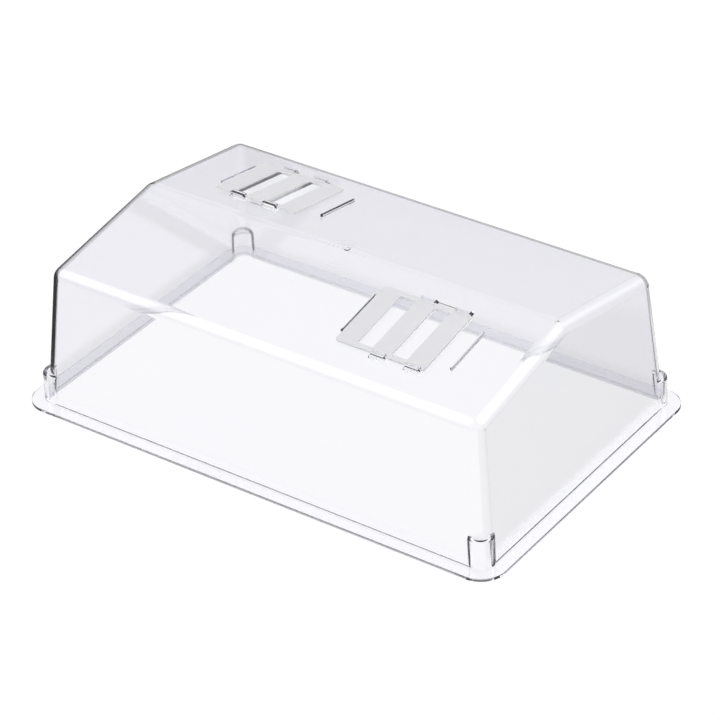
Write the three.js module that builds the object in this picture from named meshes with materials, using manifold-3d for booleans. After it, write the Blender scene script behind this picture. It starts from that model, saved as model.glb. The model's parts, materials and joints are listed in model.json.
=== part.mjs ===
// Clear seed tray hood with two sliding vents, in millimetres. +X runs along the ridge, +Z is up,
// and the origin is on the underside of the rim, below the middle of the ridge.
import * as THREE from "three";
import { ConvexGeometry } from "three/addons/geometries/ConvexGeometry.js";
import { mergeVertices } from "three/addons/utils/BufferGeometryUtils.js";
import Module from "manifold-3d";

const wasm = await Module();
wasm.setup();

const degree = Math.PI / 180;

// Driving dimensions. A wall's place is where its flat face would meet its neighbour's, before rounding.
const hood = {
  length: 360.9, // outside, at the foot of the walls
  width: 226.4,
  eaveHeight: 103.2, // where the long walls would meet the roof
  ridgeHeight: 121.4,
  endDraft: 5.5 * degree,
  sideDraft: 5.35 * degree,
  wall: 2.6,
  cornerRadius: 12.8, // upright corners, at their foot
  edgeRadius: 9.6, // eaves, gables and ridge
  roundingSteps: 6,
};
const rim = {
  reach: 10, // past the foot of the walls
  thickness: 2.2,
  cornerRadius: 18.5,
  edgeBreak: 0.4,
  footBlend: 0.9, // slanted blend between the rim's top and the walls
  cornerSteps: 9,
};
const boss = {
  height: 24.2,
  topRadius: 8.9,
  draft: 1.2 * degree,
  topRounding: 2,
  steps: 40,
};
const vent = {
  fromEnd: 94.9, // from the foot of the nearer end wall to the middle between the stops
  fromRidge: 18, // from the ridge down to the backs of the upper clips
  fromEave: 22.5, // from the backs of the lower clips down to the eave
  slotWidth: 11.6,
  slotPitch: 26.4,
  slotCount: 2,
  slotCorner: 1.5,
};
const plate = {
  thickness: 1.5,
  cornerRadius: 2.4,
  endBand: 4.2, // solid band past each end of the slots
  sideLand: 1.7, // how far the plate still reaches past the last roof slot when it is shut
};
const stop = {
  length: 38.5,
  width: 2,
  height: 2.2,
};
const clip = {
  footWidth: 12,
  topWidth: 10.6,
  armThickness: 3.2,
  lip: 1.8, // how far the hook leans over from its arm
  lipThickness: 1.2,
  backRadius: 2.8,
};
const rail = { width: 1.1, height: 0.9 };
const gate = { radius: 1.9, height: 0.35 };

// Named clearances between the plates and the hood.
const clearance = {
  underPlate: 0.35,
  overPlate: 0.35,
  besidePlate: 0.5, // between the plate's ends and the clips' arms
  atStop: 0.3,
};
const bite = 0.6; // how deep a moulded-on feature is sunk so that it joins the roof
const through = 6; // how far a cutting tool runs past what it cuts

// Worked out from the driving dimensions.
const eaveHalfWidth = hood.width / 2 - hood.eaveHeight * Math.tan(hood.sideDraft);
const slope = Math.atan((hood.ridgeHeight - hood.eaveHeight) / eaveHalfWidth);
const slopeLength = eaveHalfWidth / Math.cos(slope);
const travel = vent.slotPitch / 2; // from slots in line to each slot behind the middle of a bar
const plateWidth = vent.slotCount * vent.slotPitch + vent.slotWidth + 2 * plate.sideLand;
const stopSpacing = plateWidth + travel + 2 * clearance.atStop + stop.width;
const stopMiddle = hood.length / 2 - vent.fromEnd;
const slotMiddle = stopMiddle + travel / 2;
const armOutside = (slopeLength - vent.fromRidge - vent.fromEave) / 2;
const armInside = armOutside - clip.armThickness;
const plateLength = 2 * (armInside - clearance.besidePlate);
const ventDown = vent.fromRidge + armOutside; // middle of the vent, down the slope
const lipUnderside = clearance.underPlate + plate.thickness + clearance.overPlate;
const clipHeight = lipUnderside + clip.lipThickness;
const plateSlotLength = plateLength - 2 * plate.endBand;
const rimLength = hood.length + 2 * rim.reach;
const rimWidth = hood.width + 2 * rim.reach;

// A closed mesh as a solid, placed by a matrix.
function solid(geometry, matrix = new THREE.Matrix4()) {
  const bare = geometry.clone().applyMatrix4(matrix);
  bare.deleteAttribute("normal");
  bare.deleteAttribute("uv");
  const merged = mergeVertices(bare, 1e-4);
  return new wasm.Manifold(
    new wasm.Mesh({
      numProp: 3,
      vertProperties: new Float32Array(merged.attributes.position.array),
      triVerts: new Uint32Array(merged.index.array),
    }),
  );
}

// A solid as a geometry for a mesh.
function geometryOf(made) {
  const { vertProperties, triVerts } = made.getMesh();
  const geometry = new THREE.BufferGeometry();
  geometry.setAttribute("position", new THREE.BufferAttribute(vertProperties, 3));
  geometry.setIndex(new THREE.BufferAttribute(triVerts, 1));
  geometry.computeVertexNormals();
  return geometry;
}

const at = (x, y, z) => new THREE.Matrix4().makeTranslation(x, y, z);

// A rectangle with round corners, centred on the origin.
function roundedRectangle(width, height, radius, Kind = THREE.Shape) {
  const outline = new Kind();
  const x = width / 2 - radius;
  const y = height / 2 - radius;
  outline.absarc(x, y, radius, 0, Math.PI / 2);
  outline.absarc(-x, y, radius, Math.PI / 2, Math.PI);
  outline.absarc(-x, -y, radius, Math.PI, 1.5 * Math.PI);
  outline.absarc(x, -y, radius, 1.5 * Math.PI, 2 * Math.PI);
  return outline;
}

// The three faces that meet at the corner towards +X and +Y, each by its outward normal and its
// distance from the origin.
const faces = {
  end: new THREE.Plane(new THREE.Vector3(Math.cos(hood.endDraft), 0, Math.sin(hood.endDraft))),
  side: new THREE.Plane(new THREE.Vector3(0, Math.cos(hood.sideDraft), Math.sin(hood.sideDraft))),
  roof: new THREE.Plane(new THREE.Vector3(0, Math.sin(slope), Math.cos(slope))),
};
faces.end.constant = (hood.length / 2) * Math.cos(hood.endDraft);
faces.side.constant = (hood.width / 2) * Math.cos(hood.sideDraft);
faces.roof.constant = hood.ridgeHeight * Math.cos(slope);

// The point that lies a given depth below each of three faces.
function pointBelow(planes, depth) {
  const rows = new THREE.Matrix3();
  rows.set(...planes.flatMap((face) => face.normal.toArray()));
  const depths = planes.map((face) => face.constant - depth);
  return new THREE.Vector3(...depths).applyMatrix3(rows.invert());
}

// The part of a ball's skin between three directions, as points.
function ballPatch(centre, radius, directions) {
  const points = [];
  const steps = hood.roundingSteps;
  for (let i = 0; i <= steps; i++) {
    for (let j = 0; j <= steps - i; j++) {
      const direction = new THREE.Vector3()
        .addScaledVector(directions[0], i)
        .addScaledVector(directions[1], j)
        .addScaledVector(directions[2], steps - i - j)
        .normalize();
      points.push(centre.clone().addScaledVector(direction, radius));
    }
  }
  return points;
}

// The hood's form, inset all round, with its flat foot at a given height: a skin stretched over a ball
// in each corner of the eaves, one at each end of the ridge, and a round corner on the foot.
function hoodForm(inset, footHeight) {
  const eaveFaces = [faces.end, faces.side, faces.roof];
  const backRoof = faces.roof.clone();
  backRoof.normal.y *= -1;
  const ridgeFaces = [faces.end, faces.roof, backRoof];
  const radius = hood.edgeRadius - inset;
  const quarter = [eaveFaces, ridgeFaces].flatMap((planes) => {
    const centre = pointBelow(planes, hood.edgeRadius);
    return ballPatch(centre, radius, planes.map((face) => face.normal));
  });

  const footRadius = hood.cornerRadius - inset;
  const leanIn = (draft) => inset / Math.cos(draft) + footHeight * Math.tan(draft);
  const footX = hood.length / 2 - leanIn(hood.endDraft) - footRadius;
  const footY = hood.width / 2 - leanIn(hood.sideDraft) - footRadius;
  for (let step = 0; step <= hood.roundingSteps; step++) {
    const angle = (step / hood.roundingSteps) * (Math.PI / 2);
    const x = footX + footRadius * Math.cos(angle);
    const y = footY + footRadius * Math.sin(angle);
    quarter.push(new THREE.Vector3(x, y, footHeight));
  }
  const mirrored = [-1, 1].flatMap((sx) =>
    [-1, 1].flatMap((sy) => quarter.map((p) => new THREE.Vector3(sx * p.x, sy * p.y, p.z))),
  );
  return solid(new ConvexGeometry(mirrored));
}

// The flat rim that rests on the tray, before the inside is cut out.
function rimBlank() {
  const outline = roundedRectangle(
    rimLength - 2 * rim.edgeBreak,
    rimWidth - 2 * rim.edgeBreak,
    rim.cornerRadius - rim.edgeBreak,
  );
  const geometry = new THREE.ExtrudeGeometry(outline, {
    depth: rim.thickness - 2 * rim.edgeBreak,
    bevelThickness: rim.edgeBreak,
    bevelSize: rim.edgeBreak,
    bevelSegments: 1,
    curveSegments: rim.cornerSteps,
  });
  return solid(geometry, at(0, 0, rim.edgeBreak));
}

// The blend at the foot of the walls: a slanted band that leans on the rim and ends inside the walls.
function footBand() {
  const points = [];
  const lowZ = rim.thickness - bite;
  const highZ = rim.thickness + rim.footBlend;
  for (const [z, grow] of [[lowZ, highZ - lowZ], [highZ, 0]]) {
    const inside = 0.02; // keeps the band's upper edge just under the wall's face
    const ring = roundedRectangle(
      hood.length - 2 * z * Math.tan(hood.endDraft) + 2 * (grow - inside),
      hood.width - 2 * z * Math.tan(hood.sideDraft) + 2 * (grow - inside),
      hood.cornerRadius + grow - inside,
    );
    for (const p of ring.getPoints(rim.cornerSteps)) points.push(new THREE.Vector3(p.x, p.y, z));
  }
  return solid(new ConvexGeometry(points));
}

// A round corner boss, or with an inset the hollow inside it, on the rim corner's own centre.
function bossForm(inset, signX, signY) {
  const top = boss.height - inset;
  const radiusAt = (z) => boss.topRadius - inset + (boss.height - z) * Math.tan(boss.draft);
  const rounding = Math.max(boss.topRounding - inset, 0.2);
  const foot = inset > 0 ? -through : 0;
  const profile = new THREE.Path();
  profile.moveTo(0, foot);
  profile.lineTo(radiusAt(foot), foot);
  profile.lineTo(radiusAt(top - rounding), top - rounding);
  profile.absarc(radiusAt(top - rounding) - rounding, top - rounding, rounding, 0, Math.PI / 2);
  profile.lineTo(0, top);
  const points = profile.getPoints(3);
  const turned = new THREE.LatheGeometry(points, boss.steps).rotateX(Math.PI / 2);
  const x = signX * (rimLength / 2 - rim.cornerRadius);
  const y = signY * (rimWidth / 2 - rim.cornerRadius);
  return solid(turned, at(x, y, 0));
}

const corners = [-1, 1].flatMap((signX) => [-1, 1].map((signY) => [signX, signY]));

// A vent's own frame lies on the roof: x along the ridge, y up the slope and z square to the roof, with
// its origin on the ridge. The rear vent is the front one turned half round.
function roofFrame(turnedRound) {
  const frame = new THREE.Matrix4().makeRotationZ(turnedRound ? Math.PI : 0);
  frame.multiply(at(0, 0, hood.ridgeHeight));
  return frame.multiply(new THREE.Matrix4().makeRotationX(slope));
}

function slotOffsets() {
  const middle = (vent.slotCount - 1) / 2;
  return Array.from({ length: vent.slotCount }, (_, i) => (i - middle) * vent.slotPitch);
}

// A slot through the roof. It runs on below the hooks of its two clips, where the mould's core leaves.
function roofSlot(frame, offset) {
  const outline = roundedRectangle(vent.slotWidth, 2 * armInside, vent.slotCorner);
  const geometry = new THREE.ExtrudeGeometry(outline, {
    depth: hood.wall + 2 * through,
    bevelEnabled: false,
    curveSegments: 3,
  });
  const place = at(slotMiddle + offset, -ventDown, -hood.wall - through);
  return solid(geometry, frame.clone().multiply(place));
}

// A hooked clip seen from its side, its arm at the right and its lip reaching left over the plate.
function clipProfile() {
  const outline = new THREE.Shape();
  const lipTip = armInside - clip.lip;
  outline.moveTo(armInside, -bite);
  outline.lineTo(armOutside, -bite);
  outline.lineTo(armOutside, clipHeight - clip.backRadius);
  outline.absarc(
    armOutside - clip.backRadius,
    clipHeight - clip.backRadius,
    clip.backRadius,
    0,
    Math.PI / 2,
  );
  outline.lineTo(lipTip, clipHeight);
  outline.lineTo(lipTip, lipUnderside);
  outline.lineTo(armInside, lipUnderside);
  return outline;
}

// The same clip seen from the front, narrower at the top.
function clipFront() {
  const outline = new THREE.Shape();
  outline.moveTo(-clip.footWidth / 2, -bite);
  outline.lineTo(clip.footWidth / 2, -bite);
  outline.lineTo(clip.footWidth / 2, 0);
  outline.lineTo(clip.topWidth / 2, clipHeight);
  outline.lineTo(-clip.topWidth / 2, clipHeight);
  outline.lineTo(-clip.footWidth / 2, 0);
  return outline;
}

function hookClip(frame, offset, side) {
  const sweep = new THREE.ExtrudeGeometry(clipProfile(), {
    depth: clip.footWidth,
    bevelEnabled: false,
    curveSegments: 5,
  });
  // The profile's plane is turned so that it stands square to the ridge.
  sweep.translate(0, 0, -clip.footWidth / 2).rotateX(Math.PI / 2).rotateZ(Math.PI / 2);
  const front = new THREE.ExtrudeGeometry(clipFront(), { depth: 2 * armOutside, bevelEnabled: false });
  front.rotateX(Math.PI / 2).translate(0, 2 * armOutside, 0);
  const turn = new THREE.Matrix4().makeRotationZ(side > 0 ? 0 : Math.PI);
  const place = frame.clone().multiply(at(slotMiddle + offset, -ventDown, 0)).multiply(turn);
  return solid(sweep, place).intersect(solid(front, place));
}

// The low rail between the feet of the ridge-side clips, along which the plate's edge is guided.
function guideRail(frame) {
  const span = (vent.slotCount - 1) * vent.slotPitch - clip.topWidth;
  const geometry = new THREE.BoxGeometry(span, rail.width, rail.height + bite);
  const y = -ventDown + armOutside - rail.width / 2;
  return solid(geometry, frame.clone().multiply(at(slotMiddle, y, (rail.height - bite) / 2)));
}

// A stop: an upright web with a round top and round ends.
function stopRib(frame, side) {
  const radius = stop.width / 2;
  const outline = roundedRectangle(stop.width, stop.length, radius - 0.01);
  const webHeight = stop.height - radius;
  const web = new THREE.ExtrudeGeometry(outline, {
    depth: webHeight + bite,
    bevelEnabled: false,
    curveSegments: 4,
  });
  const crown = new THREE.CapsuleGeometry(radius, stop.length - stop.width, 4, 16);
  const x = stopMiddle + (side * stopSpacing) / 2;
  const foot = frame.clone().multiply(at(x, -ventDown, -bite));
  const top = frame.clone().multiply(at(x, -ventDown, webHeight));
  return solid(web, foot).add(solid(crown, top));
}

// The moulding gate's stub, at the middle of the ridge.
function gateStub() {
  const height = gate.height + hood.wall / 2;
  const geometry = new THREE.CylinderGeometry(gate.radius * 0.8, gate.radius, height, 20);
  geometry.rotateX(Math.PI / 2);
  return solid(geometry, at(0, 0, hood.ridgeHeight + gate.height - height / 2));
}

function makeHood() {
  let made = hoodForm(0, 0).add(rimBlank()).add(footBand());
  for (const [signX, signY] of corners) made = made.add(bossForm(0, signX, signY));
  made = made.subtract(hoodForm(hood.wall, -through));
  for (const [signX, signY] of corners) made = made.subtract(bossForm(hood.wall, signX, signY));
  for (const turnedRound of [false, true]) {
    const frame = roofFrame(turnedRound);
    for (const offset of slotOffsets()) made = made.subtract(roofSlot(frame, offset));
    for (const side of [-1, 1]) {
      for (const offset of slotOffsets()) made = made.add(hookClip(frame, offset, side));
      made = made.add(stopRib(frame, side));
    }
    made = made.add(guideRail(frame));
  }
  return geometryOf(made.add(gateStub()));
}

// A vent plate, flat on its own origin, with a slot for each slot in the roof.
function makePlate() {
  const outline = roundedRectangle(plateWidth, plateLength, plate.cornerRadius);
  for (const offset of slotOffsets()) {
    const slot = roundedRectangle(vent.slotWidth, plateSlotLength, vent.slotCorner, THREE.Path);
    const points = slot.getPoints(4).map((p) => new THREE.Vector2(p.x + offset, p.y));
    outline.holes.push(new THREE.Path(points));
  }
  return new THREE.ExtrudeGeometry(outline, {
    depth: plate.thickness,
    bevelEnabled: false,
    curveSegments: 4,
  });
}

const clearPlastic = new THREE.MeshStandardMaterial({
  color: 0xeeeef4,
  roughness: 0.06,
  metalness: 0,
  transparent: true,
  opacity: 0.35,
});
const frostedPlastic = new THREE.MeshStandardMaterial({
  color: 0xe3e3e5,
  roughness: 0.55,
  metalness: 0,
});

const group = new THREE.Group();

const hoodMesh = new THREE.Mesh(makeHood(), clearPlastic);
hoodMesh.name = "clear_hood";
group.add(hoodMesh);

// Both plates stand against the stop towards -X. There the front vent is shut and the rear one is open.
const restShift = travel / 2;
for (const [name, turnedRound] of [["front_vent_plate", false], ["rear_vent_plate", true]]) {
  const mesh = new THREE.Mesh(makePlate(), frostedPlastic);
  mesh.name = name;
  const x = stopMiddle + (turnedRound ? restShift : -restShift);
  const place = roofFrame(turnedRound).multiply(at(x, -ventDown, clearance.underPlate));
  mesh.applyMatrix4(place);
  group.add(mesh);
}

export default group;
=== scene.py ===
import bpy
import bmesh
import json
import math
from mathutils import Matrix, Vector


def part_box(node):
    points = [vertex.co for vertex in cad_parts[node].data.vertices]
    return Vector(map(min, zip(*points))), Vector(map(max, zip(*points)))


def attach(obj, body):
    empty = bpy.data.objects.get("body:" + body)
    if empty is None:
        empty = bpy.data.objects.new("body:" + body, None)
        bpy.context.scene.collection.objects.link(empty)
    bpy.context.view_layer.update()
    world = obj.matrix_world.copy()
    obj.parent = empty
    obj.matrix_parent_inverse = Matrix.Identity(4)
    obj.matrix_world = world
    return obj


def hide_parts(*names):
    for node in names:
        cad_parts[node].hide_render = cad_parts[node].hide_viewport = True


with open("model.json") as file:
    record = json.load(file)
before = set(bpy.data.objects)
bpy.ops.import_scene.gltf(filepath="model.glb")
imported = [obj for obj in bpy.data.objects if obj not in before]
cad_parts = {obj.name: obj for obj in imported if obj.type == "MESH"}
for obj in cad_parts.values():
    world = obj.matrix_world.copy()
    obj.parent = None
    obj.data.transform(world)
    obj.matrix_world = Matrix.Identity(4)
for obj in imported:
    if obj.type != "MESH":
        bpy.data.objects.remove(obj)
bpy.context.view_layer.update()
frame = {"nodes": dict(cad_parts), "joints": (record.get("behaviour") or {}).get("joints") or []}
print("frame loaded:", sorted(frame["nodes"]))

mm = 0.001
joinGap = 0.002 * mm  # points closer than this are one point
flatAngle = 0.15  # in degrees, faces that turn less than this are one flat


def degrees(angle):
    return math.radians(angle)


# helpers that make and join meshes
def meshObject(name, mesh):
    thing = bpy.data.objects.new(name, mesh)
    bpy.context.scene.collection.objects.link(thing)
    return thing


def fromBmesh(name, shape):
    mesh = bpy.data.meshes.new(name)
    shape.to_mesh(mesh)
    shape.free()
    return meshObject(name, mesh)


def settle(thing):
    # bake every modifier of a piece into its own mesh
    bpy.context.view_layer.update()
    graph = bpy.context.evaluated_depsgraph_get()
    mesh = bpy.data.meshes.new_from_object(thing.evaluated_get(graph))
    thing.modifiers.clear()
    old = thing.data
    thing.data = mesh
    bpy.data.meshes.remove(old)
    return thing


def combine(thing, tools, operation):
    for tool in tools:
        step = thing.modifiers.new(operation, "BOOLEAN")
        step.operation = operation
        step.solver = "MANIFOLD"
        step.object = tool
    settle(thing)
    for tool in tools:
        bpy.data.objects.remove(tool)
    return thing


def roundedRectangle(width, height, radius, steps):
    points = []
    for corner, (sx, sy) in enumerate(((1, 1), (-1, 1), (-1, -1), (1, -1))):
        for step in range(steps + 1):
            angle = (corner + step / steps) * math.pi / 2
            x = sx * (width / 2 - radius) + radius * math.cos(angle)
            y = sy * (height / 2 - radius) + radius * math.sin(angle)
            points.append((x, y))
    return points


def extrude(name, outline, low, high, matrix=Matrix.Identity(4), topScale=None):
    # a flat outline pulled up from low to high; topScale narrows its top in x and y
    sx, sy = topScale or (1, 1)
    shape = bmesh.new()
    bottom = [shape.verts.new((x, y, low)) for x, y in outline]
    top = [shape.verts.new((x * sx, y * sy, high)) for x, y in outline]
    shape.faces.new(bottom[::-1])
    shape.faces.new(top)
    count = len(outline)
    for i in range(count):
        j = (i + 1) % count
        shape.faces.new((bottom[i], bottom[j], top[j], top[i]))
    shape.transform(matrix)
    return fromBmesh(name, shape)


def loft(name, rings, matrix=Matrix.Identity(4)):
    # closed outlines of one length, stacked and joined, with a cap at each end
    shape = bmesh.new()
    made = [[shape.verts.new(point) for point in ring] for ring in rings]
    shape.faces.new(made[0][::-1])
    shape.faces.new(made[-1])
    count = len(made[0])
    for lower, upper in zip(made, made[1:]):
        for i in range(count):
            j = (i + 1) % count
            shape.faces.new((lower[i], lower[j], upper[j], upper[i]))
    shape.transform(matrix)
    return fromBmesh(name, shape)


def softSlab(name, width, height, corner, low, high, edge, steps, matrix=Matrix.Identity(4), edgeSteps=4):
    # a flat slab with rounded corners, its upper and lower edges rounded too
    levels = []
    for step in range(edgeSteps + 1):
        angle = step / edgeSteps * math.pi / 2
        levels.append((low + edge * (1 - math.sin(angle)), edge * (1 - math.cos(angle))))
    levels = levels[::-1]
    levels += [(low + high - z, inset) for z, inset in levels[::-1]]
    rings = []
    for z, inset in levels:
        outline = roundedRectangle(width - 2 * inset, height - 2 * inset, corner - inset, steps)
        rings.append([(x, y, z) for x, y in outline])
    return loft(name, rings, matrix)


def turn(name, profile, steps, matrix=Matrix.Identity(4)):
    # a profile of (radius, z) points, from the axis to the axis, turned about z
    shape = bmesh.new()
    rings = []
    for radius, z in profile:
        if radius == 0:
            rings.append([shape.verts.new((0, 0, z))])
            continue
        angles = [2 * math.pi * i / steps for i in range(steps)]
        ring = [shape.verts.new((radius * math.cos(a), radius * math.sin(a), z)) for a in angles]
        rings.append(ring)
    for lower, upper in zip(rings, rings[1:]):
        for i in range(steps):
            j = (i + 1) % steps
            if len(lower) == 1:
                shape.faces.new((lower[0], upper[j], upper[i]))
            elif len(upper) == 1:
                shape.faces.new((lower[i], lower[j], upper[0]))
            else:
                shape.faces.new((lower[i], lower[j], upper[j], upper[i]))
    bmesh.ops.recalc_face_normals(shape, faces=shape.faces)
    shape.transform(matrix)
    return fromBmesh(name, shape)


# the hood: shell, rim, corner bosses and gate stub
hood = {
    "rimReach": 10 * mm,
    "rimThickness": 2.2 * mm,
    "rimCorner": 18.5 * mm,
    "rimEdge": 0.3 * mm,
    "rimSteps": 20,
    "footBlend": 0.9 * mm,
    "footSunk": 0.4 * mm,  # how far below the rim's top the fillet starts
    "footTuck": 0.02 * mm,  # how far the fillet's upper edge lies inside the wall
    "footSteps": 8,
    "eaveHeight": 103.2 * mm,  # where the long walls would meet the roof
    "endDraft": degrees(5.5),
    "sideDraft": degrees(5.35),
    "wall": 2.6 * mm,
    "hollowBelow": 6 * mm,  # how far the hollow's cutting shape runs out below the rim
    "cornerRadius": 12.8 * mm,
    "edgeRadius": 9.6 * mm,
    "ridgeInside": 22 * mm,
    "steps": 14,
    "hullGap": 0.0001 * mm,
    "hullFlat": degrees(0.2),
    "smoothAngle": 32,
}
gate = {
    "height": 0.35 * mm,
    "radius": 2.3 * mm,
    "sunk": 1 * mm,
    "shoulder": 0.9,  # width below the edge and at the top, as shares of the radius
    "top": 0.8,
    "edge": 0.1 * mm,
    "steps": 32,
}
boss = {
    "height": 24.2 * mm,
    "topRadius": 8.9 * mm,
    "draft": degrees(1.2),
    "rounding": 2 * mm,
    "leastRounding": 0.4 * mm,
    "roundingSteps": 8,
    "pocketBelow": 5 * mm,  # how far the pocket's cutting shape runs out below the rim
    "steps": 96,
}

hoodLow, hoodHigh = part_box("clear_hood")
ridgeHeight = hoodHigh.z - gate["height"]
footLength = hoodHigh.x - hoodLow.x - 2 * hood["rimReach"]
footWidth = hoodHigh.y - hoodLow.y - 2 * hood["rimReach"]
eaveHalfWidth = footWidth / 2 - hood["eaveHeight"] * math.tan(hood["sideDraft"])
slope = math.atan((ridgeHeight - hood["eaveHeight"]) / eaveHalfWidth)

# each face as its outward direction and its distance from the origin
endFace = (Vector((math.cos(hood["endDraft"]), 0, math.sin(hood["endDraft"]))),
           footLength / 2 * math.cos(hood["endDraft"]))
sideFace = (Vector((0, math.cos(hood["sideDraft"]), math.sin(hood["sideDraft"]))),
            footWidth / 2 * math.cos(hood["sideDraft"]))
roofFace = (Vector((0, math.sin(slope), math.cos(slope))), ridgeHeight * math.cos(slope))
backRoof = (Vector((0, -math.sin(slope), math.cos(slope))), ridgeHeight * math.cos(slope))


def pointBelow(faces, depth):
    # the point that lies the same depth below three faces
    rows = Matrix([face[0] for face in faces])
    return rows.inverted() @ Vector([face[1] - depth for face in faces])


def ballPatch(centre, radius, directions, steps):
    # points of a ball's surface between three directions
    points = []
    for i in range(steps + 1):
        for j in range(steps + 1 - i):
            k = steps - i - j
            way = (directions[0] * i + directions[1] * j + directions[2] * k).normalized()
            points.append(centre + way * radius)
    return points


def easeRidge(points, inset):
    # a wide round along the inside of the ridge, so that it doesn't stand out as a dark line
    radius = hood["ridgeInside"]
    centreZ = ridgeHeight - (radius + inset) / math.cos(slope)
    endX = pointBelow((endFace, roofFace, backRoof), hood["edgeRadius"]).x
    eased = []
    for p in points:
        highest = centreZ + math.sqrt(radius * radius - min(abs(p.y), radius) ** 2)
        onRidge = abs(p.y) < radius * math.sin(slope)
        eased.append(Vector((p.x, p.y, min(p.z, highest))) if onRidge else p)
    for step in range(hood["steps"] + 1):
        angle = step / hood["steps"] * slope
        eased.append(Vector((endX, radius * math.sin(angle), centreZ + radius * math.cos(angle))))
    return eased


def hoodForm(name, inset, footZ):
    # the rounded gabled block; an inset one is the hollow of the shell
    steps = hood["steps"]
    quarter = []
    for faces in ((endFace, sideFace, roofFace), (endFace, roofFace, backRoof)):
        centre = pointBelow(faces, hood["edgeRadius"])
        radius = hood["edgeRadius"] - inset
        quarter += ballPatch(centre, radius, [face[0] for face in faces], steps)
    if inset:
        quarter = easeRidge(quarter, inset)
    footRadius = hood["cornerRadius"] - inset
    lean = [inset / math.cos(d) + footZ * math.tan(d) for d in (hood["endDraft"], hood["sideDraft"])]
    for step in range(steps + 1):
        angle = step / steps * math.pi / 2
        quarter.append(Vector((
            footLength / 2 - lean[0] - footRadius * (1 - math.cos(angle)),
            footWidth / 2 - lean[1] - footRadius * (1 - math.sin(angle)),
            footZ,
        )))
    shape = bmesh.new()
    for sx in (-1, 1):
        for sy in (-1, 1):
            for p in quarter:
                shape.verts.new((sx * p.x, sy * p.y, p.z))
    bmesh.ops.remove_doubles(shape, verts=shape.verts, dist=hood["hullGap"])
    made = bmesh.ops.convex_hull(shape, input=shape.verts)
    loose = {v for v in made["geom_interior"] + made["geom_unused"] if isinstance(v, bmesh.types.BMVert)}
    bmesh.ops.delete(shape, geom=list(loose), context="VERTS")
    bmesh.ops.dissolve_limit(shape, angle_limit=hood["hullFlat"], verts=shape.verts, edges=shape.edges)
    bmesh.ops.recalc_face_normals(shape, faces=shape.faces)
    return fromBmesh(name, shape)


def footBand(name):
    # a hollow fillet round the foot of the walls, where they stand on the rim
    blend = hood["footBlend"]
    rimTop = hood["rimThickness"]
    levels = [(rimTop - hood["footSunk"], blend)]
    for step in range(hood["footSteps"] + 1):
        angle = step / hood["footSteps"] * math.pi / 2
        levels.append((rimTop + blend * (1 - math.cos(angle)), blend * (1 - math.sin(angle))))
    rings = []
    for z, grow in levels:
        grow -= hood["footTuck"]
        length = footLength - 2 * z * math.tan(hood["endDraft"]) + 2 * grow
        width = footWidth - 2 * z * math.tan(hood["sideDraft"]) + 2 * grow
        outline = roundedRectangle(length, width, hood["cornerRadius"] + grow, hood["rimSteps"])
        rings.append([(x, y, z) for x, y in outline])
    return loft(name, rings)


def bossForm(name, inset, sx, sy):
    # a corner boss that stands on the foot plane; an inset one is its pocket
    top = boss["height"] - inset
    foot = -boss["pocketBelow"] if inset else 0.0

    def radiusAt(z):
        return boss["topRadius"] - inset + (boss["height"] - z) * math.tan(boss["draft"])

    bend = max(boss["rounding"] - inset, boss["leastRounding"])
    profile = [(0, foot), (radiusAt(foot), foot)]
    shoulder = radiusAt(top - bend)
    for step in range(boss["roundingSteps"] + 1):
        angle = step / boss["roundingSteps"] * math.pi / 2
        profile.append((shoulder - bend + bend * math.cos(angle), top - bend + bend * math.sin(angle)))
    profile.append((0, top))
    x = sx * (hoodHigh.x - hood["rimCorner"])
    y = sy * (hoodHigh.y - hood["rimCorner"])
    return turn(name, profile, boss["steps"], Matrix.Translation((x, y, 0)))


# the vents: roof slots and sliding plates
vent = {
    "slotWidth": 11.6 * mm,
    "slotPitch": 26.4 * mm,
    "slotCorner": 1.5 * mm,
    "slotMouth": 0.25 * mm,
    "slotEase": 0.7 * mm,  # the roof slots are wider than the plates' by this on each side
    "slotSteps": 8,
    "slotCut": (-9 * mm, 6 * mm),  # how far the cutting shapes run below and above
    "underPlate": 0.35 * mm,
    "overPlate": 0.35 * mm,
    "besidePlate": 0.5 * mm,
    "plateThickness": 1.5 * mm,
    "plateCorner": 2.4 * mm,
    "plateEdge": 0.35 * mm,
    "plateSteps": 10,
    "plateCut": (-5 * mm, 6 * mm),
    "plateSmoothAngle": 50,
    "endBand": 4.2 * mm,  # solid band past each end of the plate's slots
    "atStop": 0.3 * mm,
}
stop = {
    "length": 38.5 * mm,
    "width": 2 * mm,
    "height": 2.2 * mm,
    "sunk": 0.6 * mm,
    "endSteps": 32,
    "crownAngles": (15, 30, 45, 60, 74, 84),  # the rings of its round back
}
clip = {
    "footWidth": 12 * mm,
    "topWidth": 10.6 * mm,
    "arm": 3.2 * mm,
    "lip": 1.8 * mm,  # how far the hook leans over the plate
    "lipThickness": 1.2 * mm,
    "backRadius": 2.6 * mm,
    "backSteps": 8,
    "edge": 0.25 * mm,
    "sunk": 0.6 * mm,
}
rail = {"width": 1.1 * mm, "height": 0.9 * mm, "sunk": 0.6 * mm, "topShare": 0.8}

plateLow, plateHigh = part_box("front_vent_plate")
plateWidth = plateHigh.x - plateLow.x
travel = frame["joints"][0]["range_m"][1]
lift = vent["underPlate"] + vent["plateThickness"]
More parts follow.
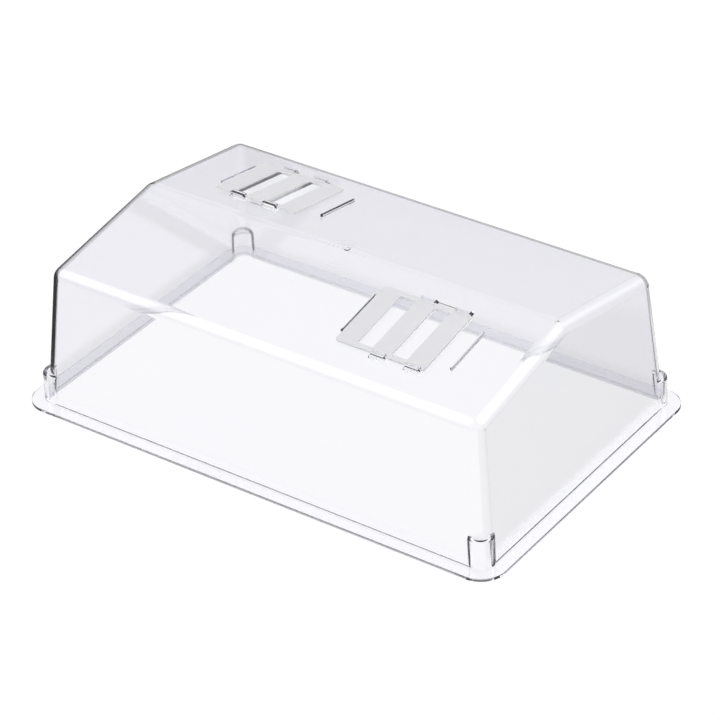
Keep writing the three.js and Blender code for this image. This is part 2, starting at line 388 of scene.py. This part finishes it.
# the plate lies on the slope, so its box is its length and thickness turned by the slope
plateLength = (plateHigh.y - plateLow.y - vent["plateThickness"] * math.sin(slope)) / math.cos(slope)
plateFarEdge = plateHigh.y + vent["underPlate"] * math.sin(slope)
ventDown = -plateFarEdge / math.cos(slope) + plateLength / 2
slotMiddle = (plateLow.x + plateHigh.x) / 2 + travel
stopMiddle = slotMiddle - travel / 2
stopSpacing = plateWidth + travel + 2 * vent["atStop"] + stop["width"]
armInside = plateLength / 2 + vent["besidePlate"]
armOutside = armInside + clip["arm"]
lipUnder = lift + vent["overPlate"]
clipHeight = lipUnder + clip["lipThickness"]
print("vents laid out: roof slope", math.degrees(slope), "plate", plateWidth, "by", plateLength)


def roofFrame(rear):
    # the ridge's middle, with y up the front slope, or up the rear one
    turned = Matrix.Rotation(math.pi if rear else 0, 4, "Z")
    return turned @ Matrix.Translation((0, 0, ridgeHeight)) @ Matrix.Rotation(slope, 4, "X")


slotOffsets = (-vent["slotPitch"] / 2, vent["slotPitch"] / 2)


def roofSlot(rear, offset):
    place = roofFrame(rear) @ Matrix.Translation((slotMiddle + offset, -ventDown, 0))
    mouth = vent["slotMouth"]
    bottom, top = vent["slotCut"]
    inside = -hood["wall"]
    rings = []
    for z, grow in ((bottom, mouth), (inside - mouth / 2, mouth), (inside + mouth, 0),
                    (-mouth, 0), (mouth / 2, 1.5 * mouth), (top, 1.5 * mouth)):
        width = vent["slotWidth"] + 2 * (vent["slotEase"] + grow)
        length = 2 * armInside + 2 * grow
        outline = roundedRectangle(width, length, vent["slotCorner"] + grow, vent["slotSteps"])
        rings.append([(x, y, z) for x, y in outline])
    return loft("slot", rings, place)


def hookClip(rear, offset, side):
    # an arm with a round back and a lip that reaches over the plate's edge
    back = clip["backRadius"]
    profile = [(armInside, -clip["sunk"]), (armOutside, -clip["sunk"])]
    for step in range(clip["backSteps"] + 1):
        angle = step / clip["backSteps"] * math.pi / 2
        y = armOutside - back + back * math.cos(angle)
        profile.append((y, clipHeight - back + back * math.sin(angle)))
    tip = armInside - clip["lip"]
    profile += [(tip, clipHeight), (tip, lipUnder), (armInside, lipUnder)]

    def halfWidth(z):
        share = max(z, 0) / clipHeight
        return (clip["footWidth"] + (clip["topWidth"] - clip["footWidth"]) * share) / 2

    shape = bmesh.new()
    left = [shape.verts.new((-halfWidth(z), y, z)) for y, z in profile]
    right = [shape.verts.new((halfWidth(z), y, z)) for y, z in profile]
    shape.faces.new(left)
    shape.faces.new(right[::-1])
    for i in range(len(profile)):
        j = (i + 1) % len(profile)
        shape.faces.new((left[j], left[i], right[i], right[j]))
    bmesh.ops.recalc_face_normals(shape, faces=shape.faces)
    place = roofFrame(rear) @ Matrix.Translation((slotMiddle + offset, -ventDown, 0))
    shape.transform(place @ Matrix.Rotation(0 if side > 0 else math.pi, 4, "Z"))
    return roundEdges(fromBmesh("clip", shape), clip["edge"])


def guideRail(rear):
    # the low rail between the feet of the ridge-side clips
    span = vent["slotPitch"] - clip["topWidth"]
    outline = [(-span / 2, -rail["width"] / 2), (span / 2, -rail["width"] / 2),
               (span / 2, rail["width"] / 2), (-span / 2, rail["width"] / 2)]
    y = -ventDown + armOutside - rail["width"] / 2
    place = roofFrame(rear) @ Matrix.Translation((slotMiddle, y, 0))
    return extrude("rail", outline, -rail["sunk"], rail["height"], place, (1, rail["topShare"]))


def stopRib(rear, side):
    # a bar with a round back: its outline shrinks in rings towards the top
    radius = stop["width"] / 2
    straight = stop["length"] / 2 - radius
    shape = bmesh.new()
    rings = []
    levels = [(-stop["sunk"], 1.0), (stop["height"] - radius, 1.0)]
    levels += [(stop["height"] - radius + radius * math.sin(a), math.cos(a))
               for a in [degrees(x) for x in stop["crownAngles"]]]
    for z, share in levels:
        ring = []
        for start, middle in ((0, straight), (math.pi, -straight)):
            for step in range(stop["endSteps"] + 1):
                angle = start + step / stop["endSteps"] * math.pi
                x = radius * share * math.cos(angle)
                ring.append((x, middle + radius * share * math.sin(angle), z))
        rings.append([shape.verts.new(p) for p in ring])
    count = len(rings[0])
    shape.faces.new(rings[0][::-1])
    for lower, upper in zip(rings, rings[1:]):
        for i in range(count):
            j = (i + 1) % count
            shape.faces.new((lower[i], lower[j], upper[j], upper[i]))
    shape.faces.new(rings[-1])
    x = stopMiddle + side * stopSpacing / 2
    shape.transform(roofFrame(rear) @ Matrix.Translation((x, -ventDown, 0)))
    return fromBmesh("stop", shape)


def gateStub():
    radius = gate["radius"]
    low, top = ridgeHeight - gate["sunk"], ridgeHeight + gate["height"]
    profile = [(0, low), (radius, low), (radius * gate["shoulder"], top - gate["edge"]),
               (radius * gate["top"], top), (0, top)]
    return turn("gate", profile, gate["steps"])


def makeHood():
    corners = [(sx, sy) for sx in (-1, 1) for sy in (-1, 1)]
    body = hoodForm("hood_shell", 0, 0)
    adds = [softSlab("rim", hoodHigh.x - hoodLow.x, hoodHigh.y - hoodLow.y, hood["rimCorner"],
                     0, hood["rimThickness"], hood["rimEdge"], hood["rimSteps"])]
    adds.append(footBand("foot_band"))
    adds += [bossForm("boss", 0, sx, sy) for sx, sy in corners]
    combine(body, adds, "UNION")
    cuts = [hoodForm("inside", hood["wall"], -hood["hollowBelow"])]
    cuts += [bossForm("pocket", hood["wall"], sx, sy) for sx, sy in corners]
    for rear in (False, True):
        cuts += [roofSlot(rear, offset) for offset in slotOffsets]
    combine(body, cuts, "DIFFERENCE")
    extras = []
    for rear in (False, True):
        for side in (-1, 1):
            extras += [hookClip(rear, offset, side) for offset in slotOffsets]
            extras.append(stopRib(rear, side))
        extras.append(guideRail(rear))
    extras.append(gateStub())
    combine(body, extras, "UNION")
    return smoothShading(body, hood["smoothAngle"])


def roundEdges(thing, width):
    # rounds the sharp edges of a small piece before it is joined on
    edge = thing.modifiers.new("round edges", "BEVEL")
    edge.width = width
    edge.segments = 2
    edge.limit_method = "ANGLE"
    edge.angle_limit = degrees(40)
    return settle(thing)


def smoothShading(thing, limit):
    # joins the flats, then shades every edge softer than the limit as one surface
    shape = bmesh.new()
    shape.from_mesh(thing.data)
    bmesh.ops.remove_doubles(shape, verts=shape.verts, dist=joinGap)
    bmesh.ops.dissolve_degenerate(shape, edges=shape.edges, dist=joinGap)
    bmesh.ops.dissolve_limit(shape, angle_limit=degrees(flatAngle), verts=shape.verts, edges=shape.edges)
    bmesh.ops.triangulate(shape, faces=[f for f in shape.faces if len(f.verts) > 4])
    for face in shape.faces:
        face.smooth = True
    for line in shape.edges:
        line.smooth = line.is_manifold and line.calc_face_angle(0) < degrees(limit)
    shape.to_mesh(thing.data)
    shape.free()
    even = thing.modifiers.new("even shading", "WEIGHTED_NORMAL")
    even.mode = "FACE_AREA"
    even.weight = 50
    even.keep_sharp = True
    return thing


def makePlate(name, rear):
    # the plate at rest, where the frame has it
    low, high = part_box(name)
    middleX = (low.x + high.x) / 2
    if rear:
        middleX = -middleX
    place = roofFrame(rear) @ Matrix.Translation((middleX, -ventDown, vent["underPlate"]))
    plate = softSlab("plate_" + name, plateWidth, plateLength, vent["plateCorner"],
                     0, vent["plateThickness"], vent["plateEdge"], vent["plateSteps"], place)
    cuts = []
    slotLength = plateLength - 2 * vent["endBand"]
    edge = vent["plateEdge"]
    top = vent["plateThickness"]
    lowest, highest = vent["plateCut"]
    for offset in slotOffsets:
        rings = []
        for z, grow in ((lowest, edge), (-edge / 2, edge), (edge, 0), (top - edge, 0),
                        (top + edge / 2, 1.5 * edge), (highest, 1.5 * edge)):
            outline = roundedRectangle(vent["slotWidth"] + 2 * grow, slotLength + 2 * grow,
                                       vent["slotCorner"] + grow, vent["slotSteps"])
            rings.append([(x + offset, y, z) for x, y in outline])
        cuts.append(loft("cut", rings, place))
    combine(plate, cuts, "DIFFERENCE")
    return smoothShading(plate, vent["plateSmoothAngle"])


hoodShell = makeHood()
hoodShell.name = "clear_hood_shell"
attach(hoodShell, "hood")
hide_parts("clear_hood")
print("hood made:", len(hoodShell.data.polygons), "faces")

plates = []
for node, body, rear in (("front_vent_plate", "front_vent", False), ("rear_vent_plate", "rear_vent", True)):
    plate = makePlate(node, rear)
    plate.name = body + "_frosted"
    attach(plate, body)
    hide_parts(node)
    plates.append(plate)
print("vent plates made")


# materials
class NodeBoard:
    # a small wrapper that adds nodes and joins them
    def __init__(self, tree):
        self.tree = tree
        self.tree.nodes.clear()

    def add(self, kind, inputs=None, **settings):
        node = self.tree.nodes.new(kind)
        for key, value in settings.items():
            setattr(node, key, value)
        for key, value in (inputs or {}).items():
            if isinstance(value, bpy.types.NodeSocket):
                self.tree.links.new(value, node.inputs[key])
            else:
                node.inputs[key].default_value = value
        return node

    def maths(self, operation, a, b=0.0, c=0.0):
        return self.add("ShaderNodeMath", {0: a, 1: b, 2: c}, operation=operation).outputs[0]

    def noise(self, where, scale, detail=2.0, roughness=0.5):
        node = self.add("ShaderNodeTexNoise", {"Vector": where, "Scale": scale, "Detail": detail,
                                               "Roughness": roughness})
        return node.outputs["Fac"]

    def between(self, value, low, high):
        node = self.add("ShaderNodeMapRange", {"Value": value, "From Min": 0.3, "From Max": 0.7,
                                               "To Min": low, "To Max": high})
        return node.outputs["Result"]

    def colours(self, factor, first, second):
        node = self.add("ShaderNodeMix", data_type="RGBA")
        self.tree.links.new(factor, node.inputs["Factor"])
        node.inputs["A"].default_value = (*first, 1)
        node.inputs["B"].default_value = (*second, 1)
        return node.outputs["Result"]

    def bump(self, height, strength, distance, normal=None):
        inputs = {"Height": height, "Strength": strength, "Distance": distance}
        if normal:
            inputs["Normal"] = normal
        return self.add("ShaderNodeBump", inputs).outputs["Normal"]


clearLook = {
    "ior": 1.58,
    "tintA": (0.942, 0.952, 0.975),
    "tintB": (0.964, 0.950, 0.974),
    "absorb": (0.10, 0.10, 0.20),
    "density": 18.0,
    "shadowTint": (0.97, 0.97, 0.98),
    "cloudScale": 14.0,
    "streakScale": 55.0,
    "roughLow": 0.015,
    "roughHigh": 0.05,
    "flowScale": 26.0,
    "flowDepth": 1.0 * mm,
    "waviness": 0.10,
    "ripple": 0.5,  # rings round the gate
    "rippleDepth": 0.05 * mm,
    "ripplePitch": 3.4 * mm,
    "rippleReach": 24 * mm,
    "cutRough": 0.9,  # roughness of the slots' cut walls, and how far round them it reaches
    "cutSide": 0.4 * mm,
    "cutEnd": 0.6 * mm,
    "cutTop": 0.1 * mm,
}


def slotWalls(board, place, look):
    # 1 on the cut walls of the roof slots, 0 elsewhere; both vents fold onto the front one
    split = board.add("ShaderNodeSeparateXYZ", {0: place})
    x, y, z = split.outputs["X"], split.outputs["Y"], split.outputs["Z"]
    folded = board.maths("MULTIPLY", board.maths("MULTIPLY", board.maths("SIGN", y), -1.0), x)
    depth = board.maths("ABSOLUTE", y)
    fromMiddle = board.maths("ABSOLUTE", board.maths("SUBTRACT", folded, slotMiddle))
    fromSlot = board.maths("ABSOLUTE", board.maths("SUBTRACT", fromMiddle, vent["slotPitch"] / 2))
    wallAt = vent["slotWidth"] / 2 + vent["slotEase"]
    inWidth = board.maths("LESS_THAN", fromSlot, wallAt + look["cutSide"])
    fromCentre = board.maths("ABSOLUTE", board.maths("SUBTRACT", depth, ventDown * math.cos(slope)))
    inLength = board.maths("LESS_THAN", fromCentre, (armInside + look["cutEnd"]) * math.cos(slope))
    roofHere = board.maths("MULTIPLY_ADD", depth, -math.tan(slope), ridgeHeight + look["cutTop"])
    inSheet = board.maths("LESS_THAN", z, roofHere)
    inRoof = board.maths("GREATER_THAN", z, hood["eaveHeight"] - hood["wall"])
    inOutline = board.maths("MULTIPLY", inWidth, inLength)
    return board.maths("MULTIPLY", inOutline, board.maths("MULTIPLY", inSheet, inRoof))


def gateRings(board, place, look):
    # rings round the gate that die away, as where the plastic first flowed in
    apart = board.add("ShaderNodeVectorMath", {0: place, 1: (0, 0, ridgeHeight)}, operation="DISTANCE")
    apart = apart.outputs["Value"]
    wave = board.maths("SINE", board.maths("MULTIPLY", apart, 2 * math.pi / look["ripplePitch"]))
    fade = board.maths("SUBTRACT", 1.0, board.maths("DIVIDE", apart, look["rippleReach"]))
    rings = board.maths("MULTIPLY", wave, board.maths("MAXIMUM", fade, 0.0))
    return board.bump(rings, look["ripple"], look["rippleDepth"])


def clearPlastic(look):
    material = bpy.data.materials.new("clear_polystyrene")
    material.use_nodes = True
    board = NodeBoard(material.node_tree)
    place = board.add("ShaderNodeTexCoord").outputs["Object"]
    cloud = board.noise(place, look["cloudScale"], detail=3.0)
    streaks = board.noise(place, look["streakScale"], detail=4.0, roughness=0.6)
    tint = board.colours(cloud, look["tintA"], look["tintB"])
    rough = board.between(streaks, look["roughLow"], look["roughHigh"])
    cut = slotWalls(board, place, look)
    rough = board.add("ShaderNodeMix", {0: cut, 2: rough, 3: look["cutRough"]}).outputs[0]
    waves = board.noise(place, look["flowScale"], detail=1.0)
    flow = board.bump(waves, look["waviness"], look["flowDepth"], gateRings(board, place, look))
    plastic = board.add("ShaderNodeBsdfPrincipled", {
        "Base Color": tint,
        "Roughness": rough,
        "IOR": look["ior"],
        "Transmission Weight": 1.0,
        "Normal": flow,
    })
    passed = board.add("ShaderNodeBsdfTransparent", {"Color": (*look["shadowTint"], 1)})
    shadow = board.add("ShaderNodeLightPath").outputs["Is Shadow Ray"]
    mix = board.add("ShaderNodeMixShader", {0: shadow, 1: plastic.outputs[0], 2: passed.outputs[0]})
    absorb = (*look["absorb"], 1)
    inside = board.add("ShaderNodeVolumeAbsorption", {"Color": absorb, "Density": look["density"]})
    board.add("ShaderNodeOutputMaterial", {"Surface": mix.outputs[0], "Volume": inside.outputs[0]})
    return material


frostedLook = {
    "dark": (0.835, 0.835, 0.837),
    "light": (0.875, 0.875, 0.877),
    "ior": 1.5,
    "roughLow": 0.42,
    "roughHigh": 0.6,
    "seeThrough": 0.22,
    "cloudScale": 30.0,
    "wearScale": 90.0,
    "grainScale": 1800.0,
    "grainDepth": 0.05 * mm,
    "grain": 0.35,
}


def frostedPlastic(look):
    material = bpy.data.materials.new("frosted_plastic")
    material.use_nodes = True
    board = NodeBoard(material.node_tree)
    place = board.add("ShaderNodeTexCoord").outputs["Object"]
    cloud = board.noise(place, look["cloudScale"], detail=3.0)
    wear = board.noise(place, look["wearScale"], detail=3.0)
    grain = board.noise(place, look["grainScale"], detail=2.0)
    plastic = board.add("ShaderNodeBsdfPrincipled", {
        "Base Color": board.colours(cloud, look["dark"], look["light"]),
        "Roughness": board.between(wear, look["roughLow"], look["roughHigh"]),
        "IOR": look["ior"],
        "Transmission Weight": look["seeThrough"],
        "Normal": board.bump(grain, look["grain"], look["grainDepth"]),
    })
    board.add("ShaderNodeOutputMaterial", {"Surface": plastic.outputs[0]})
    return material


hoodShell.data.materials.clear()
hoodShell.data.materials.append(clearPlastic(clearLook))
frosted = frostedPlastic(frostedLook)
for plate in plates:
    plate.data.materials.clear()
    plate.data.materials.append(frosted)
print("materials set")


# floor, light and camera
studio = {
    "floorSize": 6.0,
    "floorDrop": 0.4 * mm,
    "floorGlow": 1.04,
    "leftFrom": 0.205,  # where painted shade on the mirrored floor starts, and what is left of its glow
    "leftShadeLevel": 0.04,
    "rightFrom": 0.187,
    "rightShadeLevel": 0.33,
    "backFrom": 0.23,
    "backShadeLevel": 0.55,
    "footSide": (0.094, 0.1115),  # strips of painted shade under the long walls and under the ends
    "footSideShadeLevel": 0.38,
    "footEnd": (0.160, 0.1835),
    "footEndShadeLevel": 0.30,
    "fade": 0.004,
    "sharpFade": 0.001,
    "backFade": 0.02,
    "frontTurn": degrees(30),
    "skyTop": (0.94, 0.94, 0.97),
    "skyTopFrom": 0.45,
    "skyLow": (0.45, 0.45, 0.48),
    "keyWay": (-0.50, -0.34, 0.80),  # soft boxes: the way to each, its glow, and its bright and outer spread
    "keyGlow": 1.9,
    "keySpread": (degrees(10), degrees(38)),
    "rimWay": (0.44, 0.51, 0.62),
    "rimGlow": 1.5,
    "rimSpread": (degrees(10), degrees(36)),
}


def stepUp(board, value, middle, fade):
    # 0 below the middle, 1 above it, with a soft change between
    node = board.add("ShaderNodeMapRange", interpolation_type="SMOOTHSTEP", inputs={
        "Value": value,
        "From Min": middle - fade,
        "From Max": middle + fade,
        "To Min": 0.0,
        "To Max": 1.0,
    })
    return node.outputs["Result"]


def bandOf(board, value, limits):
    # 1 between the two limits, 0 outside them
    inner = stepUp(board, value, limits[0], studio["fade"])
    outer = stepUp(board, value, limits[1], studio["sharpFade"])
    return board.maths("SUBTRACT", inner, outer)


def footShadeStrip(board, value, strip, along, end):
    # 1 in a strip of painted shade on the floor under the foot of a wall, which stops where the next strip
    # does
    band = bandOf(board, value, studio[strip])
    within = board.maths("SUBTRACT", 1.0, stepUp(board, along, studio[end][1], studio["sharpFade"]))
    return board.maths("MULTIPLY", band, within)


def makeFloor():
    half = studio["floorSize"] / 2
    shape = bmesh.new()
    corners = [shape.verts.new((x, y, -studio["floorDrop"])) for x, y in
               ((-half, -half), (half, -half), (half, half), (-half, half))]
    shape.faces.new(corners)
    floor = fromBmesh("floor", shape)
    floor.data.materials.append(whiteFloorWithPaintedShade())


def whiteFloorWithPaintedShade():
    # seen directly it is plain white; where the plastic mirrors it, it carries painted shade: darker past
    # the ends of the hood and behind it, as dark cards round it would make it, and darker in strips under
    # its walls, as shade at their foot
    material = bpy.data.materials.new("white_floor_painted_shade")
    material.use_nodes = True
    board = NodeBoard(material.node_tree)
    place = board.add("ShaderNodeSeparateXYZ", {0: board.add("ShaderNodeTexCoord").outputs["Object"]})
    x, y = place.outputs["X"], place.outputs["Y"]
    reach, depth = board.maths("ABSOLUTE", x), board.maths("ABSOLUTE", y)
    across = board.maths("ADD", board.maths("MULTIPLY", reach, math.sin(studio["frontTurn"])),
                         board.maths("MULTIPLY", y, math.cos(studio["frontTurn"])))
    # masks of painted shade behind the hood and past its left and right ends
    back = stepUp(board, y, studio["backFrom"], studio["backFade"])
    backHalf = board.maths("SUBTRACT", stepUp(board, across, 0.0, studio["fade"]), back)
    left = stepUp(board, board.maths("MULTIPLY", x, -1.0), studio["leftFrom"], studio["fade"])
    left = board.maths("MULTIPLY", left, backHalf)
    mirrors = board.add("ShaderNodeLightPath").outputs["Glossy Depth"]
    right = board.maths("MULTIPLY", stepUp(board, x, studio["rightFrom"], studio["fade"]), backHalf)
    right = board.maths("MULTIPLY", right, board.maths("LESS_THAN", mirrors, 1.5))  # first mirroring only
    # painted shade in strips under the long walls and under the ends
    side = footShadeStrip(board, depth, "footSide", reach, "footEnd")
    end = footShadeStrip(board, reach, "footEnd", depth, "footSide")
    # the glow with all the painted shade multiplied in, used only where the floor is mirrored
    level = studio["floorGlow"]
    for mask, amount in ((left, "leftShadeLevel"), (right, "rightShadeLevel"), (back, "backShadeLevel"),
                         (side, "footSideShadeLevel"), (end, "footEndShadeLevel")):
        level = board.maths("MULTIPLY", level, board.maths("MULTIPLY_ADD", mask, studio[amount] - 1.0, 1.0))
    bounced = board.maths("GREATER_THAN", mirrors, 0.5)  # 1 for any mirrored view of the floor
    strength = board.add("ShaderNodeMix", {0: bounced, 2: studio["floorGlow"], 3: level}).outputs[0]
    glow = board.add("ShaderNodeEmission", {"Color": (1, 1, 1, 1), "Strength": strength})
    board.add("ShaderNodeOutputMaterial", {"Surface": glow.outputs[0]})
    return material


def makeSky():
    world = bpy.data.worlds.new("studio")
    bpy.context.scene.world = world
    world.use_nodes = True
    board = NodeBoard(world.node_tree)
    way = board.add("ShaderNodeTexCoord").outputs["Generated"]
    height = board.add("ShaderNodeSeparateXYZ", {0: way}).outputs["Z"]
    ramp = board.add("ShaderNodeValToRGB", {0: height})
    stops = ramp.color_ramp.elements
    stops[0].position, stops[0].color = 0.0, (*studio["skyLow"], 1)
    stops[1].position, stops[1].color = studio["skyTopFrom"], (*studio["skyTop"], 1)
    light = ramp.outputs[0]
    mirrored = board.maths("SUBTRACT", 1.0, board.add("ShaderNodeLightPath").outputs["Is Diffuse Ray"])
    for lamp in ("key", "rim"):
        # a soft box in the sky, bright in the middle and fading out
        towards = Vector(studio[lamp + "Way"]).normalized()
        aim = board.add("ShaderNodeVectorMath", {0: way, 1: towards}, operation="DOT_PRODUCT")
        inner, outer = studio[lamp + "Spread"]
        near, far = math.cos(inner), math.cos(outer)
        spot = stepUp(board, aim.outputs["Value"], (near + far) / 2, (near - far) / 2)
        glow = board.maths("MULTIPLY", board.maths("MULTIPLY", spot, studio[lamp + "Glow"]), mirrored)
        light = board.add("ShaderNodeVectorMath", {0: light, 1: glow}, operation="ADD").outputs["Vector"]
    sky = board.add("ShaderNodeBackground", {"Color": light, "Strength": 1.0})
    board.add("ShaderNodeOutputWorld", {"Surface": sky.outputs[0]})


viewpoint = {
    "azimuth": degrees(36.605),
    "elevation": degrees(33.456),
    "roll": degrees(-2.41),
    "distance": 2.0379,
    "target": (0.03975, -0.0448, 0.07306),
    "lens": 157.5,
    "sensor": 36,
    "nearest": 0.05,
    "farthest": 50,
}


def makeCamera():
    azimuth, elevation, roll = viewpoint["azimuth"], viewpoint["elevation"], viewpoint["roll"]
    back = Vector((math.sin(azimuth) * math.cos(elevation), -math.cos(azimuth) * math.cos(elevation),
                   math.sin(elevation)))
    right = Vector((math.cos(azimuth), math.sin(azimuth), 0))
    up = back.cross(right)
    tiltedRight = right * math.cos(roll) + up * math.sin(roll)
    tiltedUp = up * math.cos(roll) - right * math.sin(roll)
    lens = bpy.data.cameras.new("camera")
    lens.lens = viewpoint["lens"]
    lens.sensor_width = viewpoint["sensor"]
    lens.clip_start = viewpoint["nearest"]
    lens.clip_end = viewpoint["farthest"]
    camera = bpy.data.objects.new("camera", lens)
    bpy.context.scene.collection.objects.link(camera)
    axes = Matrix((tiltedRight, tiltedUp, back)).transposed().to_4x4()
    stand = Vector(viewpoint["target"]) + back * viewpoint["distance"]
    camera.matrix_world = Matrix.Translation(stand) @ axes
    bpy.context.scene.camera = camera


makeFloor()
makeSky()
makeCamera()
print("floor, sky and camera set")

scene = bpy.context.scene
scene.view_settings.view_transform = "Standard"
scene.view_settings.look = "None"
scene.cycles.max_bounces = 32
scene.cycles.transmission_bounces = 24
scene.cycles.glossy_bounces = 8
scene.cycles.transparent_max_bounces = 16
scene.cycles.caustics_reflective = False
scene.cycles.use_denoising = True
